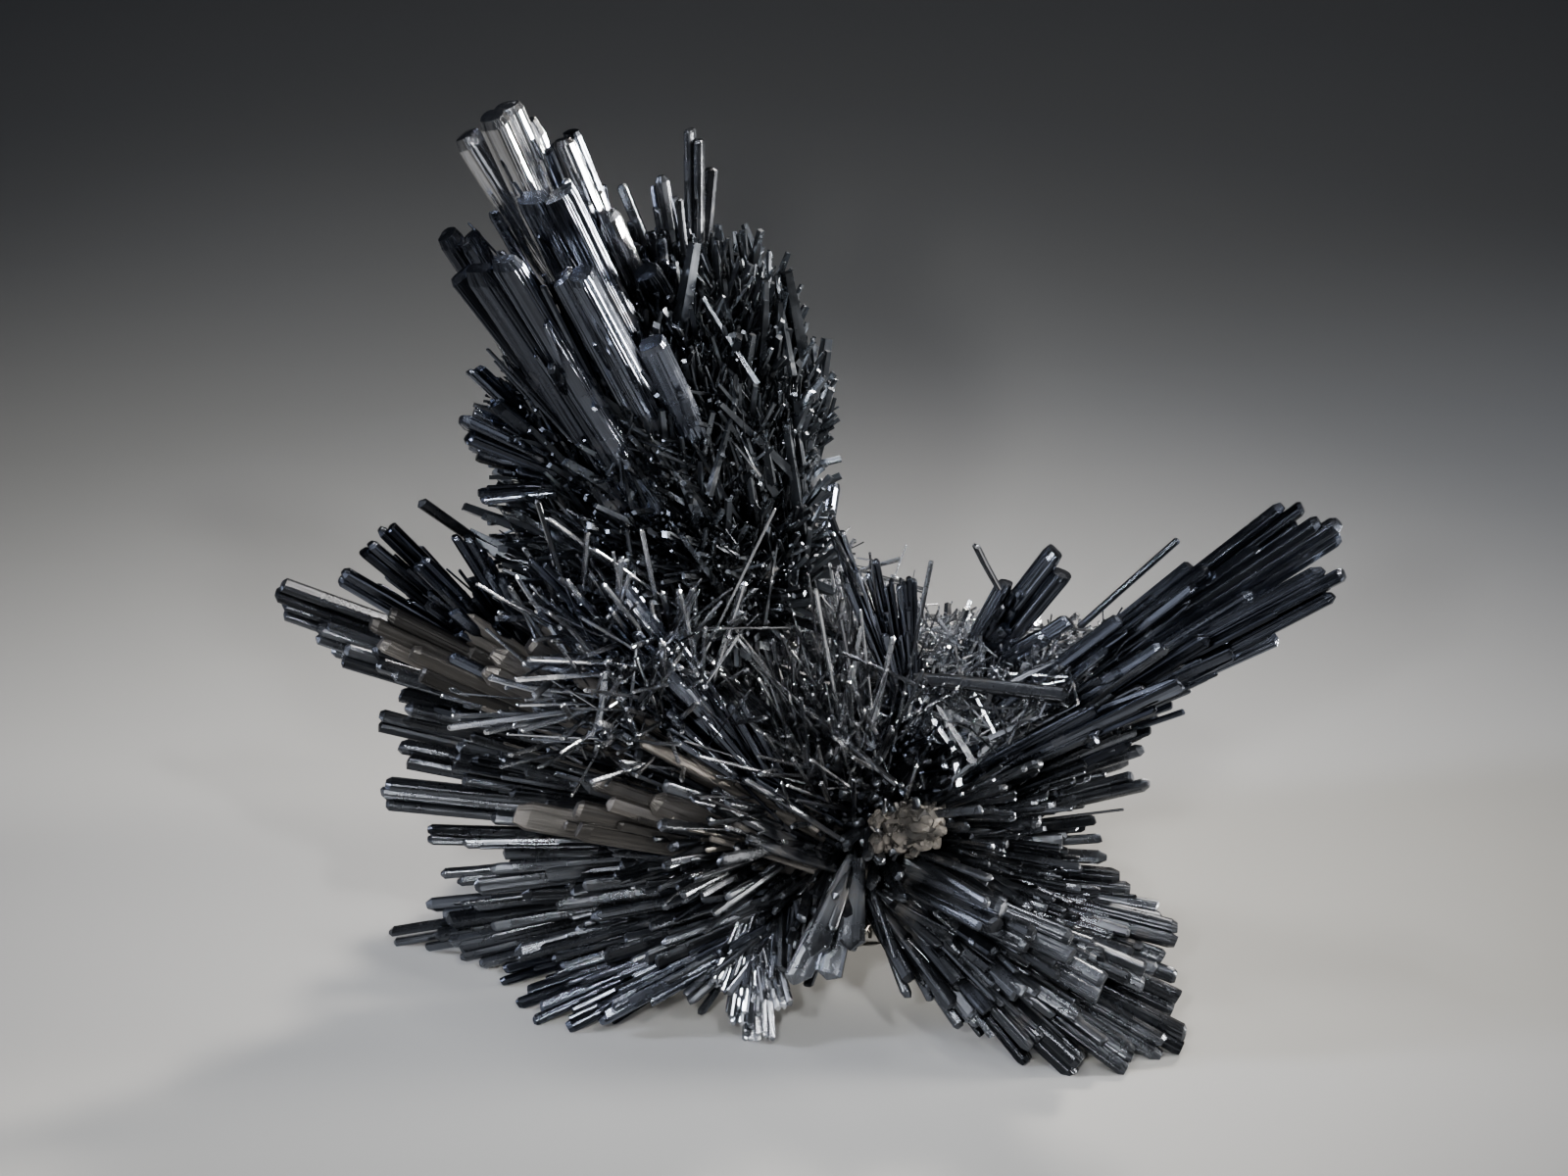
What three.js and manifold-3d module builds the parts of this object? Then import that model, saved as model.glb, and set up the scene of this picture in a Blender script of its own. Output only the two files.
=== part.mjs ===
// A stibnite crystal spray. From one root, fans of blades spread to the left, to the right and down to the
// feet that it stands on, and a tower of prisms leans back and to the left over a bowl of fine needles.
// Millimetres, +Z up, front towards -Y. The crystals are laid out on the floor plane z = 0 with the root
// near x = 6, and the finished group is shifted so that its origin is the middle of the bottom of its box.
import * as THREE from "three";
import { ConvexGeometry } from "three/addons/geometries/ConvexGeometry.js";
import { mergeVertices } from "three/addons/utils/BufferGeometryUtils.js";
import Module from "manifold-3d";

const wasm = await Module();
wasm.setup();

// Driving dimensions
const GAP = 0.3; // clearance between neighbouring pieces
const SIDES = 4; // faces round a blade, and round a prism where a piece says otherwise
const PRISM_SIDES = 6;
const WELD = 1e-4; // corners nearer than this are one corner
const LUMP_DETAIL = 1; // subdivision of the rounded masses, unless a piece says otherwise
const FLOOR = 200; // side of the block that trims the feet flat
const ROOT_TAPER = 0.5; // a fan crystal's width where it leaves its palm, as a share of its full width
const BURIED = 0.85; // share of a palm's length that its crystals start at
const FACING = new THREE.Vector3(0, -0.85, 0.53); // way that most broad crystal faces look
const TURN = 0.5; // most that a crystal is twisted off that facing, radians

const FINISHES = {
  prism: { color: 0x2a2f3a, roughness: 0.3, metalness: 0.9 }, // bright bluish-black cleavage
  blade: { color: 0x23262c, roughness: 0.38, metalness: 0.8 }, // duller, slightly tarnished
  coated: { color: 0x4a443d, roughness: 0.65, metalness: 0.35 }, // thin film of brown clay
  needles: { color: 0x1c1e22, roughness: 0.35, metalness: 0.85 },
  matrix: { color: 0x6b5a45, roughness: 0.85, metalness: 0.0 },
};

// ---- solids -------------------------------------------------------------------------------------------

function solidOf(geometry) {
  const bare = geometry.clone();
  bare.deleteAttribute("normal");
  bare.deleteAttribute("uv");
  const merged = mergeVertices(bare, WELD);
  const corners = merged.index.array;
  const triVerts = [];
  for (let i = 0; i < corners.length; i += 3) {
    const [a, b, c] = corners.subarray(i, i + 3);
    if (a !== b && b !== c && c !== a) triVerts.push(a, b, c); // the rest closed up on the axis
  }
  const vertProperties = merged.attributes.position.array;
  const mesh = new wasm.Mesh({ numProp: 3, vertProperties, triVerts: new Uint32Array(triVerts) });
  return new wasm.Manifold(mesh);
}

const join = (solids) => wasm.Manifold.union(solids);

// A crystal from its start to its tip: broad face along `facing`, widening to its shoulders, and
// ending in a point. `grow` swells it on every side.
function crystal({ start, tip, width, thickness, point, taper, turn, facing, sides }, grow = 0) {
  const length = start.distanceTo(tip);
  const along = tip.clone().sub(start).normalize();
  const across = along.clone().cross(facing).normalize();
  const out = across.clone().cross(along);
  const radius = width / 2 + grow;
  const profile = [
    new THREE.Vector2(0, -grow),
    new THREE.Vector2(radius * taper, -grow),
    new THREE.Vector2(radius, length - point),
    new THREE.Vector2(0, length + grow),
  ];
  const geometry = new THREE.LatheGeometry(profile, sides);
  geometry.scale(1, 1, (thickness / 2 + grow) / radius);
  geometry.rotateY(turn);
  geometry.applyMatrix4(new THREE.Matrix4().makeBasis(across, along, out));
  geometry.translate(start.x, start.y, start.z);
  return solidOf(geometry);
}

// A rounded lump: the surface that the tips of a mass of needles reach.
function lump([x, y, z, rx, ry, rz], detail, grow) {
  const geometry = new THREE.IcosahedronGeometry(1, detail);
  geometry.scale(rx + grow, ry + grow, rz + grow);
  geometry.translate(x, y, z);
  return solidOf(geometry);
}

// The crystals of a spray. Its tips are [x, y, z] or [x, y, z, width]. Between each two that follow one
// another stand `fill` shorter ones, a little nearer or farther than the line between them.
function crystalsOf(spray) {
  const { root, tips, width, flat = 0.5, point = 0.8, taper = ROOT_TAPER } = spray;
  const { web = 0, fill = 0, depth = 2, seed = 1, sides = SIDES } = spray;
  const facing = spray.facing ? new THREE.Vector3(...spray.facing).normalize() : FACING;
  const foot = new THREE.Vector3(...root);
  const random = (from, to) => from + (to - from) * THREE.MathUtils.seededRandom();
  THREE.MathUtils.seededRandom(seed);
  const crystals = [];
  const add = (tip, size) => {
    const turn = random(-TURN, TURN);
    const start = foot.clone().lerp(tip, web * BURIED);
    const [thickness, length] = [size * flat, size * point];
    crystals.push({ foot, start, tip, width: size, thickness, point: length, taper, turn, facing, sides });
  };
  tips.forEach(([x, y, z, size = width], i) => {
    const tip = new THREE.Vector3(x, y, z);
    add(tip, size);
    if (i === tips.length - 1) return;
    const next = new THREE.Vector3(...tips[i + 1].slice(0, 3));
    for (let k = 1; k <= fill; k++) {
      const between = tip.clone().lerp(next, k / (fill + 1));
      const shorter = foot.clone().lerp(between, random(0.8, 0.93));
      shorter.addScaledVector(facing, random(-depth, depth));
      add(shorter, width * random(0.75, 1));
    }
  });
  return crystals;
}

// The grown-together part of a spray: the hull of the root and of each crystal's width at the share `web`.
function palm(crystals, web, grow = 0) {
  const points = [crystals[0].foot.clone()];
  for (const { foot, tip, width, facing } of crystals) {
    const along = tip.clone().sub(foot).normalize();
    const across = along.clone().cross(facing).normalize();
    for (const side of [-1, 1]) {
      points.push(foot.clone().lerp(tip, web).addScaledVector(across, (side * width) / 3));
    }
  }
  const centre = points.reduce((sum, p) => sum.add(p), new THREE.Vector3()).divideScalar(points.length);
  for (const p of points) p.addScaledVector(p.clone().sub(centre).normalize(), grow);
  return solidOf(new ConvexGeometry(points));
}

function sprayOf(spray, grow = 0) {
  const crystals = crystalsOf(spray);
  const solids = crystals.map((one) => crystal(one, grow));
  if (spray.web) solids.push(palm(crystals, spray.web, grow * 1.5));
  return join(solids);
}

const massOf = ({ lumps, detail = LUMP_DETAIL }, grow) => join(lumps.map((one) => lump(one, detail, grow)));

// ---- the pieces, in the order in which they claim their space --------------------------------------------

const TOWER_TAPER = 0.9; // tower prisms keep their width

const PIECES = [
  // Rounded masses of needles: [x, y, z, radius x, radius y, radius z]
  {
    name: "root_mass",
    finish: "matrix",
    lumps: [
      [6, 7.5, 6, 9, 7, 8.5],
      [6.5, 1, 12.5, 4.5, 4.5, 4],
    ],
  },
  {
    name: "tower_needles",
    finish: "needles",
    lumps: [
      [-9.5, 8, 47.5, 13.5, 9, 10.5],
      [-5, 10, 53, 6.5, 6.5, 7.5],
      [-9.5, 6, 37.5, 13.5, 9.5, 10],
    ],
  },
  {
    name: "bowl_needles",
    finish: "needles",
    lumps: [
      [-2.5, 11.5, 23.5, 12, 8.5, 9],
      [-17.5, 4, 31.5, 7, 6.5, 7],
      [5.5, 9, 22, 8, 7, 7],
    ],
  },
  {
    name: "ridge_needles",
    finish: "needles",
    lumps: [
      [15.5, 6.5, 21.5, 7, 6, 7.2],
      [21.5, 5.5, 23.5, 6, 5, 4.8],
    ],
  },

  // Single prisms of the tower: a foot in the needles and tips side by side
  {
    name: "tower_prism_tall",
    finish: "prism",
    sides: PRISM_SIDES,
    root: [-13, 7, 52],
    web: 0.82,
    width: 3.2,
    flat: 0.8,
    point: 0.3,
    taper: TOWER_TAPER,
    tips: [[-24, 9.5, 70.5, 2.2], [-21.5, 9, 73], [-19.7, 10, 71.3, 2.2]],
  },
  {
    name: "tower_prism_bright",
    finish: "prism",
    sides: PRISM_SIDES,
    root: [-8.5, 9, 49],
    web: 0.7,
    width: 2,
    flat: 0.85,
    point: 0.4,
    taper: TOWER_TAPER,
    tips: [[-17.8, 11.5, 68.5, 1.3], [-16.5, 11, 69.7], [-14.8, 10, 63.5, 1.5]],
  },
  {
    name: "tower_prism_front",
    finish: "prism",
    sides: PRISM_SIDES,
    root: [-9.8, 2.2, 49],
    width: 4.2,
    flat: 0.55,
    point: 0.35,
    taper: TOWER_TAPER,
    tips: [[-18, 5, 68]],
  },
  {
    name: "tower_prism_stub",
    finish: "prism",
    sides: PRISM_SIDES,
    root: [-18, 5, 50],
    width: 2.8,
    flat: 0.7,
    point: 0.25,
    taper: TOWER_TAPER,
    tips: [[-25, 7, 63.6]],
  },
  {
    name: "tower_blade_broad",
    finish: "prism",
    sides: PRISM_SIDES,
    root: [-11, -1.8, 43.5],
    web: 0.85,
    width: 4.4,
    flat: 0.4,
    point: 0.4,
    taper: 0.85,
    tips: [[-22, 0.5, 64.5], [-24.4, 1.8, 62.8, 2]],
  },
  {
    name: "tower_prism_centre",
    finish: "prism",
    sides: PRISM_SIDES,
    root: [-7.2, -2.4, 43],
    width: 3,
    flat: 0.65,
    point: 0.45,
    taper: TOWER_TAPER,
    tips: [[-16, 0, 64]],
  },
  {
    name: "tower_prism_small",
    finish: "prism",
    sides: PRISM_SIDES,
    root: [-5.6, 0.8, 47],
    width: 1.8,
    flat: 0.8,
    point: 0.5,
    taper: TOWER_TAPER,
    tips: [[-10.5, 4, 61.8]],
  },
  {
    name: "tower_prism_inner",
    finish: "prism",
    sides: PRISM_SIDES,
    root: [-4.2, -3.2, 42],
    width: 1.9,
    flat: 0.8,
    point: 0.6,
    taper: TOWER_TAPER,
    tips: [[-10, -2.5, 59.4]],
  },
  {
    name: "tower_spikes_back",
    finish: "blade",
    root: [-7, 11, 50],
    web: 0.74,
    width: 1.2,
    flat: 0.9,
    point: 0.5,
    taper: TOWER_TAPER,
    tips: [
      [-12.5, 13, 64.5, 0.9], [-12.2, 11, 61.5], [-9.5, 13.5, 65, 1], [-8.6, 15, 62.5, 0.9],
      [-6.9, 15, 68.2, 1.4], [-5.7, 15.5, 64.7, 0.9],
    ],
  },
  {
    name: "tower_stubs_left",
    finish: "prism",
    root: [-14.5, 3, 43.5],
    web: 0.7,
    width: 1.9,
    flat: 0.8,
    point: 0.3,
    taper: 0.8,
    tips: [[-23.6, 1, 43.7, 1.3], [-25, 1.5, 49.8], [-24, 4, 53.5, 1.3], [-24.3, 2.5, 47, 1.3]],
  },
  {
    name: "tower_prisms_back",
    finish: "prism",
    root: [-8, 9, 41],
    web: 0.78,
    width: 2.4,
    flat: 0.7,
    point: 0.5,
    facing: [0, 1, 0.3],
    seed: 5,
    tips: [
      [-18.5, 17, 59], [-15.5, 19, 52], [-12, 19.5, 54, 3], [-8, 20.5, 50], [-4.5, 18.5, 51, 2.8],
      [-1.5, 19, 44.5],
    ],
  },
  {
    name: "shoulder_prisms_left",
    finish: "prism",
    root: [-17.5, 1.5, 24],
    web: 0.76,
    width: 1.5,
    flat: 0.7,
    point: 0.5,
    depth: 1,
    seed: 3,
    tips: [
      [-34.5, 0, 37.3], [-32.5, 1, 39.2], [-31.2, 2.5, 40.2], [-28.3, -0.5, 38.8], [-25.3, 1.5, 40.2],
      [-22.6, -2, 39],
    ],
  },
  {
    name: "lone_needle",
    finish: "blade",
    root: [-16, 3.5, 29],
    width: 0.8,
    flat: 0.9,
    point: 3,
    tips: [[-28.4, 3.6, 41.8]],
  },

  // Fans to the left
  {
    name: "left_fan_coated",
    finish: "coated",
    root: [5.5, -2, 13],
    web: 0.6,
    width: 2.8,
    flat: 0.4,
    point: 0.45,
    fill: 1,
    depth: 1.4,
    seed: 4,
    tips: [
      [-32, -2.6, 34.6, 3.4], [-29.3, -3.6, 31.8], [-25.2, -1.4, 33.6, 2.4], [-23, -4.4, 32.2, 3],
      [-19.6, -3.2, 33.8], [-16, -4.8, 31.6, 2.2],
    ],
  },
  {
    name: "left_fan_upper",
    finish: "blade",
    root: [4, 3, 14],
    web: 0.62,
    width: 2.4,
    flat: 0.5,
    point: 0.9,
    fill: 1,
    depth: 1.8,
    seed: 6,
    tips: [
      [-40.6, 6, 31.6, 3], [-37.2, 4.6, 29.4], [-35, 2.6, 28.2, 2], [-36.4, 6, 26.8, 1.6],
      [-30.8, 2, 24.4, 2],
    ],
  },
  {
    name: "left_fan_middle",
    finish: "blade",
    root: [6, 1.5, 11],
    web: 0.66,
    width: 2.1,
    flat: 0.55,
    point: 1,
    depth: 2.5,
    seed: 7,
    tips: [
      [-32.6, 4, 21.2, 1.8], [-31, 1, 20], [-26.4, -2, 20.4, 2.4], [-29.4, 5, 17.6],
      [-32.6, 1, 16, 2.8], [-29, 2.4, 11, 1.6], [-27.8, -1, 9, 1.5], [-25.4, 3, 6.4, 1.5],
    ],
  },
  {
    name: "left_fan_plates",
    finish: "coated",
    root: [4, -4, 12],
    web: 0.7,
    width: 3.2,
    flat: 0.35,
    point: 0.4,
    depth: 0.8,
    seed: 8,
    tips: [[-21.4, -5.6, 18.6, 2], [-16.6, -8.6, 20.2], [-15, -8, 22.6, 2.6], [-10.5, -7.4, 21.2, 2.2]],
  },
  {
    name: "left_fan_lower",
    finish: "blade",
    root: [6, -0.5, 10],
    web: 0.68,
    width: 1.7,
    flat: 0.6,
    point: 1,
    depth: 1.5,
    seed: 9,
    tips: [[-29.6, 3.6, 2.4, 2], [-32.6, 2.4, 0.5, 1.5], [-28.6, 0.6, 1.6], [-26.4, -1, 0.5]],
  },
  {
    name: "left_foot_bundle",
    finish: "prism",
    root: [6.5, -2.5, 10.5],
    web: 0.7,
    width: 1.7,
    flat: 0.6,
    point: 0.6,
    fill: 1,
    depth: 1.2,
    seed: 10,
    tips: [
      [-23.2, -3, 0.5], [-21.8, -6, 0.4], [-20.4, -8, 0.3, 2], [-17.6, -9, 0.4, 2], [-15, -10, 1.6],
      [-11, -9.6, 3.4],
    ],
  },
  {
    name: "bowl_rim_blades",
    finish: "prism",
    root: [1, -3.4, 16],
    web: 0.62,
    width: 1.4,
    flat: 0.6,
    point: 1.2,
    depth: 1,
    seed: 11,
    tips: [
      [-19.4, -3, 40.8, 1.2], [-18, -3.2, 36.7], [-13.6, -4.6, 37.2], [-12.4, -4.8, 39.1, 1.6],
      [-11.6, -4.8, 34.8], [-8.6, -4.4, 30.4],
    ],
  },

  // The wing to the right and what stands on its ridge
  {
    name: "right_wing",
    finish: "prism",
    root: [7, 2.5, 11.5],
    web: 0.62,
    width: 2.6,
    flat: 0.5,
    point: 0.5,
    fill: 1,
    depth: 1.5,
    seed: 12,
    tips: [
      [33.4, 9, 34.6, 1.8], [41, 8, 38.8, 3], [43.7, 5.4, 38.8, 3], [43.8, 1.4, 36.4, 3.2],
      [42, 3.4, 33.6, 2], [38.8, 1.2, 31, 1.6], [34, 2.4, 27, 1.6],
    ],
  },
  {
    name: "right_wing_lower",
    finish: "blade",
    root: [8, 2, 10.5],
    web: 0.64,
    width: 1.8,
    flat: 0.6,
    point: 0.9,
    depth: 1.5,
    seed: 13,
    tips: [[28.6, 1, 22.4], [29.2, -0.4, 18.4], [24, 2.4, 15], [22, 3.4, 11.4], [19.4, 4.4, 8]],
  },
  {
    name: "right_stub_prisms",
    finish: "prism",
    sides: PRISM_SIDES,
    root: [13.5, 5, 23],
    web: 0.6,
    width: 3,
    flat: 0.75,
    point: 0.2,
    taper: 0.8,
    seed: 14,
    tips: [[22.2, 7, 34.6], [18.2, 6.4, 32.4, 2.4], [22.8, 4.6, 30.2, 1.3]],
  },
  {
    name: "right_shoulder_blades",
    finish: "prism",
    root: [10.5, 1.5, 20],
    web: 0.5,
    width: 1.3,
    flat: 0.6,
    point: 1,
    depth: 0.8,
    seed: 15,
    tips: [[3.6, 3, 40.8], [4.8, 1.6, 37.6], [6.8, 3.4, 36.6], [8.4, 2.4, 35.4], [9.8, 4, 34.6]],
  },
  {
    name: "right_cross_blade",
    finish: "blade",
    root: [7, 1, 26],
    width: 1.3,
    flat: 0.6,
    point: 1.5,
    tips: [[22.5, -0.6, 26.4]],
  },

  // Fans to the lower right, which reach the floor
  {
    name: "foot_fan_upper",
    finish: "blade",
    root: [7, 0, 10.5],
    web: 0.6,
    width: 2.2,
    flat: 0.55,
    point: 0.5,
    fill: 1,
    depth: 1.6,
    seed: 16,
    tips: [[21.4, 0.4, 9.8], [28, -2, 9.2], [30.6, -3.6, 7.2], [31.8, -5, 6.2], [31.8, -6.6, 3.8]],
  },
  {
    name: "foot_fan_front",
    finish: "blade",
    root: [7, -3, 12],
    web: 0.6,
    width: 2.4,
    flat: 0.5,
    point: 0.5,
    fill: 1,
    depth: 1.2,
    seed: 17,
    tips: [
      [17.2, -11.6, 12.6, 2.6], [19.4, -12, 10.8], [23, -12, 10, 2.6], [25.2, -13, 6.8],
      [29, -9.6, 5.2], [31.4, -9.4, 2.6],
    ],
  },
  {
    name: "foot_fan_lower",
    finish: "blade",
    root: [7.5, -4, 11],
    web: 0.62,
    width: 2.3,
    flat: 0.55,
    point: 0.5,
    fill: 1,
    depth: 1.4,
    seed: 18,
    tips: [
      [32, -12, 0.8], [30.4, -12.6, 0.4], [27.6, -14.4, 0.4, 2.6], [23.4, -15, 0.3, 2.6],
      [19.8, -13.6, 0.6],
    ],
  },
  {
    name: "foot_fan_inner",
    finish: "blade",
    root: [6.5, -4, 10.5],
    web: 0.55,
    width: 1.6,
    flat: 0.6,
    point: 1,
    depth: 1,
    seed: 19,
    tips: [[15.8, -12.2, 3], [14.4, -12.4, 2.8], [12.4, -10.6, 4]],
  },

  // Under the root
  {
    name: "hanging_blades",
    finish: "coated",
    root: [5.8, -5, 14.5],
    web: 0.5,
    width: 1.9,
    flat: 0.5,
    point: 0.9,
    depth: 0.8,
    seed: 20,
    tips: [[0.6, -12, 6.2], [3.4, -11.8, 6.8], [2, -13, 9.8], [5.2, -12.4, 10.2]],
  },
  {
    name: "tuft_needles",
    finish: "needles",
    root: [-2.4, -3.6, 8.6],
    web: 0.74,
    width: 2.6,
    flat: 0.9,
    point: 1.6,
    seed: 21,
    tips: [[-2, -11.4, 0.3], [-3.4, -11, 1.6], [-5, -9.4, 3.8], [-0.4, -10.4, 2.6]],
  },
  {
    name: "matrix_grains",
    finish: "matrix",
    detail: 0,
    lumps: [
      [8, -5.8, 16.4, 1.3, 1.2, 1.2],
      [9.4, -5.2, 18, 1.2, 1.1, 1.3],
      [10.6, -5.4, 16.8, 1.4, 1.2, 1.1],
      [11.8, -4.6, 17.6, 1.1, 1, 1.3],
      [9.4, -5, 16.2, 1.5, 1.4, 1.1],
    ],
  },

  // The back: shorter sprays from the same root
  {
    name: "rear_fan_left",
    finish: "blade",
    root: [2, 6, 13],
    web: 0.66,
    width: 2.6,
    flat: 0.5,
    point: 0.8,
    depth: 1.6,
    facing: [-0.4, 1, 0.3],
    seed: 22,
    tips: [
      [-20, 14.5, 27.5], [-24, 16, 21.5], [-26, 14.5, 14], [-18.5, 20.5, 17, 3], [-22, 18.5, 9.5],
      [-14, 21.5, 6],
    ],
  },
  {
    name: "rear_fan_right",
    finish: "blade",
    root: [9, 6, 13],
    web: 0.66,
    width: 2.4,
    flat: 0.5,
    point: 0.8,
    depth: 1.4,
    facing: [0.4, 1, 0.3],
    seed: 23,
    tips: [[23.5, 16, 20], [26, 14, 15], [20, 20.5, 15.5, 2.8], [25.5, 18, 9], [18, 20.5, 5]],
  },
  {
    name: "rear_blades_up",
    finish: "prism",
    root: [1, 9, 17],
    web: 0.84,
    width: 2.2,
    flat: 0.55,
    point: 0.8,
    depth: 1.2,
    facing: [0, 1, 0.2],
    seed: 24,
    tips: [[-12, 21.5, 36.5], [-3.5, 23.5, 35], [3.5, 21.5, 33], [11, 17.5, 24], [9, 22, 21]],
  },
  {
    name: "rear_feet",
    finish: "blade",
    root: [5, 8, 11],
    web: 0.72,
    width: 2.2,
    flat: 0.6,
    point: 0.8,
    depth: 1,
    facing: [0, 1, 0.4],
    seed: 25,
    tips: [[-9, 18.5, 0.4], [-3, 20.5, 1], [3, 22, 0.4], [9, 21, 1], [14.5, 18.5, 0.4]],
  },
];

// ---- assembly -------------------------------------------------------------------------------------------

const floor = solidOf(new THREE.BoxGeometry(FLOOR, FLOOR, FLOOR).translate(0, 0, -FLOOR / 2));
const biggest = (solid) => solid.decompose().sort((a, b) => b.volume() - a.volume())[0];
const boxOf = (solid) => {
  const { min, max } = solid.boundingBox();
  return new THREE.Box3(new THREE.Vector3(...min), new THREE.Vector3(...max));
};

function meshOf(name, finish, solid) {
  const { vertProperties, triVerts } = solid.getMesh();
  const geometry = new THREE.BufferGeometry();
  geometry.setAttribute("position", new THREE.BufferAttribute(vertProperties, 3));
  geometry.setIndex(new THREE.BufferAttribute(triVerts, 1));
  const material = new THREE.MeshStandardMaterial({ ...FINISHES[finish], flatShading: true });
  const mesh = new THREE.Mesh(geometry, material);
  mesh.name = name;
  return mesh;
}

// Each piece gives way to those before it, with the gap between them.
const spray = new THREE.Group();
const claimed = [];
for (const piece of PIECES) {
  const shape = (grow) => (piece.lumps ? massOf(piece, grow) : sprayOf(piece, grow));
  const whole = shape(0);
  const reach = boxOf(whole);
  const near = claimed.filter((other) => other.box.intersectsBox(reach)).map((other) => other.solid);
  const body = biggest(wasm.Manifold.difference([whole, floor, ...near]));
  const grown = shape(GAP);
  claimed.push({ solid: grown, box: boxOf(grown) });
  spray.add(meshOf(piece.name, piece.finish, body));
}

const box = new THREE.Box3().setFromObject(spray);
const middle = box.getCenter(new THREE.Vector3());
spray.position.set(-middle.x, -middle.y, -box.min.z);

export default spray;
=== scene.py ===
# A stibnite crystal spray: the finish of its crystals, needles and grains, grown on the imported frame.
import math
import random

import bmesh
import bpy
import numpy as np
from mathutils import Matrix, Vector, noise


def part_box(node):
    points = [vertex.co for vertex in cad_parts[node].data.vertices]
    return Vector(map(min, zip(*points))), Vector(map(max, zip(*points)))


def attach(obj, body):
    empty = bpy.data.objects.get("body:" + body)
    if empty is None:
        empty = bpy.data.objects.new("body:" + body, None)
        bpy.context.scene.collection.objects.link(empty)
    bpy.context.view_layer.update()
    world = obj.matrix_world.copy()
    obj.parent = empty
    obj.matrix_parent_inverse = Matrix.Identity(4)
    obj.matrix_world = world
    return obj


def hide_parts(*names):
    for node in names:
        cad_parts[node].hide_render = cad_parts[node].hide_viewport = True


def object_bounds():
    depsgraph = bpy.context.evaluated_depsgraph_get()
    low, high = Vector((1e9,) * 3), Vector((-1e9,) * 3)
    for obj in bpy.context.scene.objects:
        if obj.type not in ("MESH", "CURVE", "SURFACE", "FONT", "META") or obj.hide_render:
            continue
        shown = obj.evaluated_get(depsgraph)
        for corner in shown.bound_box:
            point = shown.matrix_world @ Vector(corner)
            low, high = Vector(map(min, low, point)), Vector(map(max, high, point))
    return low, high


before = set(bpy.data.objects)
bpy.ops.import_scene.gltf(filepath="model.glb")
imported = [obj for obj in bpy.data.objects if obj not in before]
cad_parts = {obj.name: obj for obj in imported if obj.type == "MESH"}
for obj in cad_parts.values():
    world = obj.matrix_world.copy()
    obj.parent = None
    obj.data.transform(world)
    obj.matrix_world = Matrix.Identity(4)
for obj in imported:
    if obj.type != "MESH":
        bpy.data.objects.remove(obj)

mm = 0.001
cadBox = [list(corner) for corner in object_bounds()]
print("frame: ", len(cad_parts), "nodes")

# camera, light and floor

studio = dict(
    elevation=32.0,                   # degrees above the horizon
    distance=339 * mm,
    lens=100.0,
    lookAt=(-1.6 * mm, -4.2 * mm, 36 * mm),
    floorSize=3.0,
    floorColour="#adadab",            # matt pale card
    worldColour="#33363d",
    worldStrength=0.42,
)

# name, place and size in mm, watts, colour, aim in mm, and how wide it spreads in degrees
lamps = [
    ("frontLeft", (-150, -185, 108), (100, 80), 0.0085, "#ffffff", (-40, -110, 0), 170),
    ("frontRight", (150, -185, 108), (100, 80), 0.0115, "#ffffff", (40, -110, 0), 170),
    ("windowRight", (330, 10, 70), (60, 110), 0.30, "#fffaf2", (-20, 0, 60), 30),
    ("topStrip", (-60, 40, 340), (14, 90), 0.024, "#ffffff", (-5, -5, 35), 50),
    ("keyBack", (150, 230, 260), (40, 40), 0.060, "#fff6ea", (0, 0, 45), 30),
    ("windowLeft", (-330, -20, 160), (30, 100), 0.050, "#e6ecff", (0, 0, 40), 30),
    ("softTop", (0, -150, 330), (240, 140), 0.024, "#f2f5ff", (0, 0, 35), 90),
    ("softRight", (290, -190, 150), (160, 160), 0.026, "#f2f5ff", (0, 0, 35), 90),
    ("softLeft", (-290, -190, 150), (160, 160), 0.034, "#f2f5ff", (0, 0, 35), 90),
    ("lowGlint", (-50, -240, 205), (22, 22), 0.020, "#ffffff", (-15, -10, 10), 40),
    ("bowlGlint", (70, -170, 270), (20, 20), 0.010, "#ffffff", (-5, -5, 30), 30),
]


def linear(hexColour):
    parts = [int(hexColour[i:i + 2], 16) / 255 for i in (1, 3, 5)]
    return [c / 12.92 if c <= 0.04045 else ((c + 0.055) / 1.055) ** 2.4 for c in parts] + [1.0]


def addNode(tree, kind, inputs=None, **settings):
    # one node with its settings; an input takes a value or another node's socket
    made = tree.nodes.new(kind)
    for setting, value in settings.items():
        setattr(made, setting, value)
    for socket, value in (inputs or {}).items():
        if isinstance(value, bpy.types.NodeSocket):
            tree.links.new(value, made.inputs[socket])
        else:
            made.inputs[socket].default_value = value
    return made


def newMaterial(name):
    material = bpy.data.materials.new(name)
    material.use_nodes = True
    material.node_tree.nodes.clear()
    return material, material.node_tree


def aim(thing, target):
    thing.rotation_euler = (Vector(target) - thing.location).to_track_quat("-Z", "Y").to_euler()


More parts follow.
